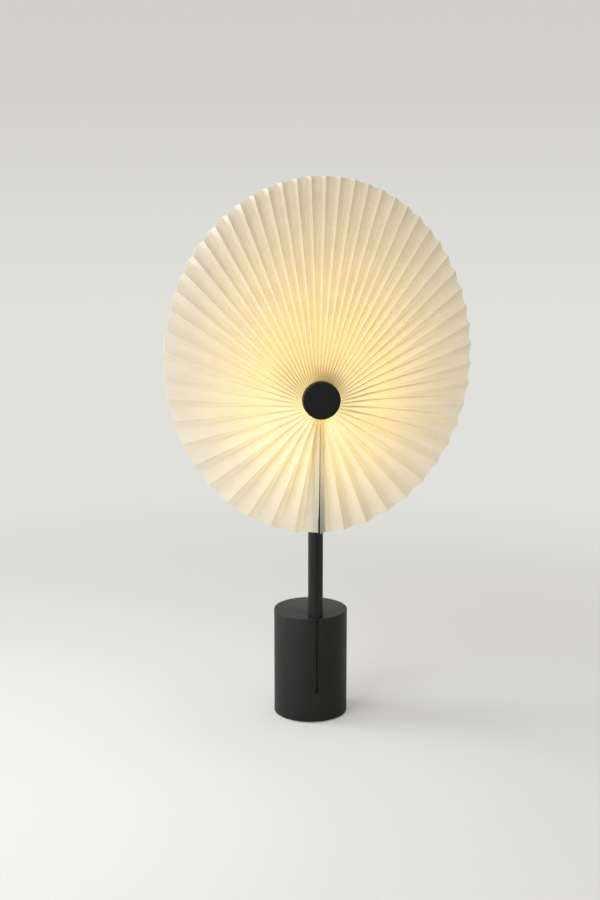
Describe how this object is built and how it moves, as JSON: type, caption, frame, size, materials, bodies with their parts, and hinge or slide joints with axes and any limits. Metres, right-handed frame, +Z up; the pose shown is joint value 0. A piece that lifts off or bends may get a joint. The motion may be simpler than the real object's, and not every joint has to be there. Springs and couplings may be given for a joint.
{
  "type": "portable table lamp",
  "caption": "Portable table lamp with a pleated rosette shade on a slim stem, a round weighted base that holds the battery, and a front knob that turns to dim and presses to switch.",
  "frame": {"origin": "middle of the foot's underside, on the axis of the base", "axes": "+Z up, -Y to the front where the knob is, +X to the right as seen from the front"},
  "size_m": [0.282, 0.0937, 0.5179],
  "materials": {
    "black_coat": "matte powder coat",
    "knob_black": "fine satin black",
    "hub_black": "moulded",
    "pleated_sheet": "warm white pleated sheet",
    "steel": "plain",
    "brass": "plain",
    "soft_rubber": "matte",
    "lead_jacket": "smooth",
    "board_green": "solder mask",
    "light_board_white": "white solder mask",
    "chip_black": "moulded",
    "cradle_plastic": "moulded",
    "cell_wrap": "shrink wrap",
    "light_yellow": "phosphor",
    "opal": "opal"
  },
  "bodies": {
    "lamp": {"base_body": "black_coat", "stem": "black_coat", "stem_cap": "black_coat", "rear_saddle": "black_coat", "head_cup": "black_coat", "rear_cap": "black_coat", "hub_spool": "hub_black", "clamp_ring": "hub_black", "pleated_shade": "pleated_sheet", "base_plate": "steel", "ballast_weight": "steel", "plate_screws": "steel", "board_screws": "steel", "stem_set_screws": "steel", "clamp_screws": "steel", "light_screws": "steel", "snap_dome": "steel", "charge_socket": "steel", "lamp_pipe": "brass", "pipe_nuts": "brass", "board_spacers": "brass", "foot_pad": "soft_rubber", "lead_grommet": "soft_rubber", "stem_lead": "lead_jacket", "control_board": "board_green", "dimmer_board": "board_green", "light_board": "light_board_white", "board_chips": "chip_black", "dimmer_body": "chip_black", "battery_cradle": "cradle_plastic", "battery_cells": "cell_wrap", "light_chips": "light_yellow", "diffuser": "opal"},
    "rotor": {"dimmer_rotor": "chip_black"},
    "knob": {"knob_shaft": "steel", "knob_cap": "knob_black"}
  },
  "joints": [
    {"name": "knob_turn", "type": "hinge", "parent": "lamp", "child": "rotor", "pos_m": [0, -0.05, 0.318], "axis": [0, 1, 0], "range_deg": [-140, 140]},
    {"name": "knob_press", "type": "slide", "parent": "rotor", "child": "knob", "axis": [0, 1, 0], "range_m": [0, 0.0008], "stiffness_N_per_m": 2000, "springref_m": -0.0005}
  ]
}
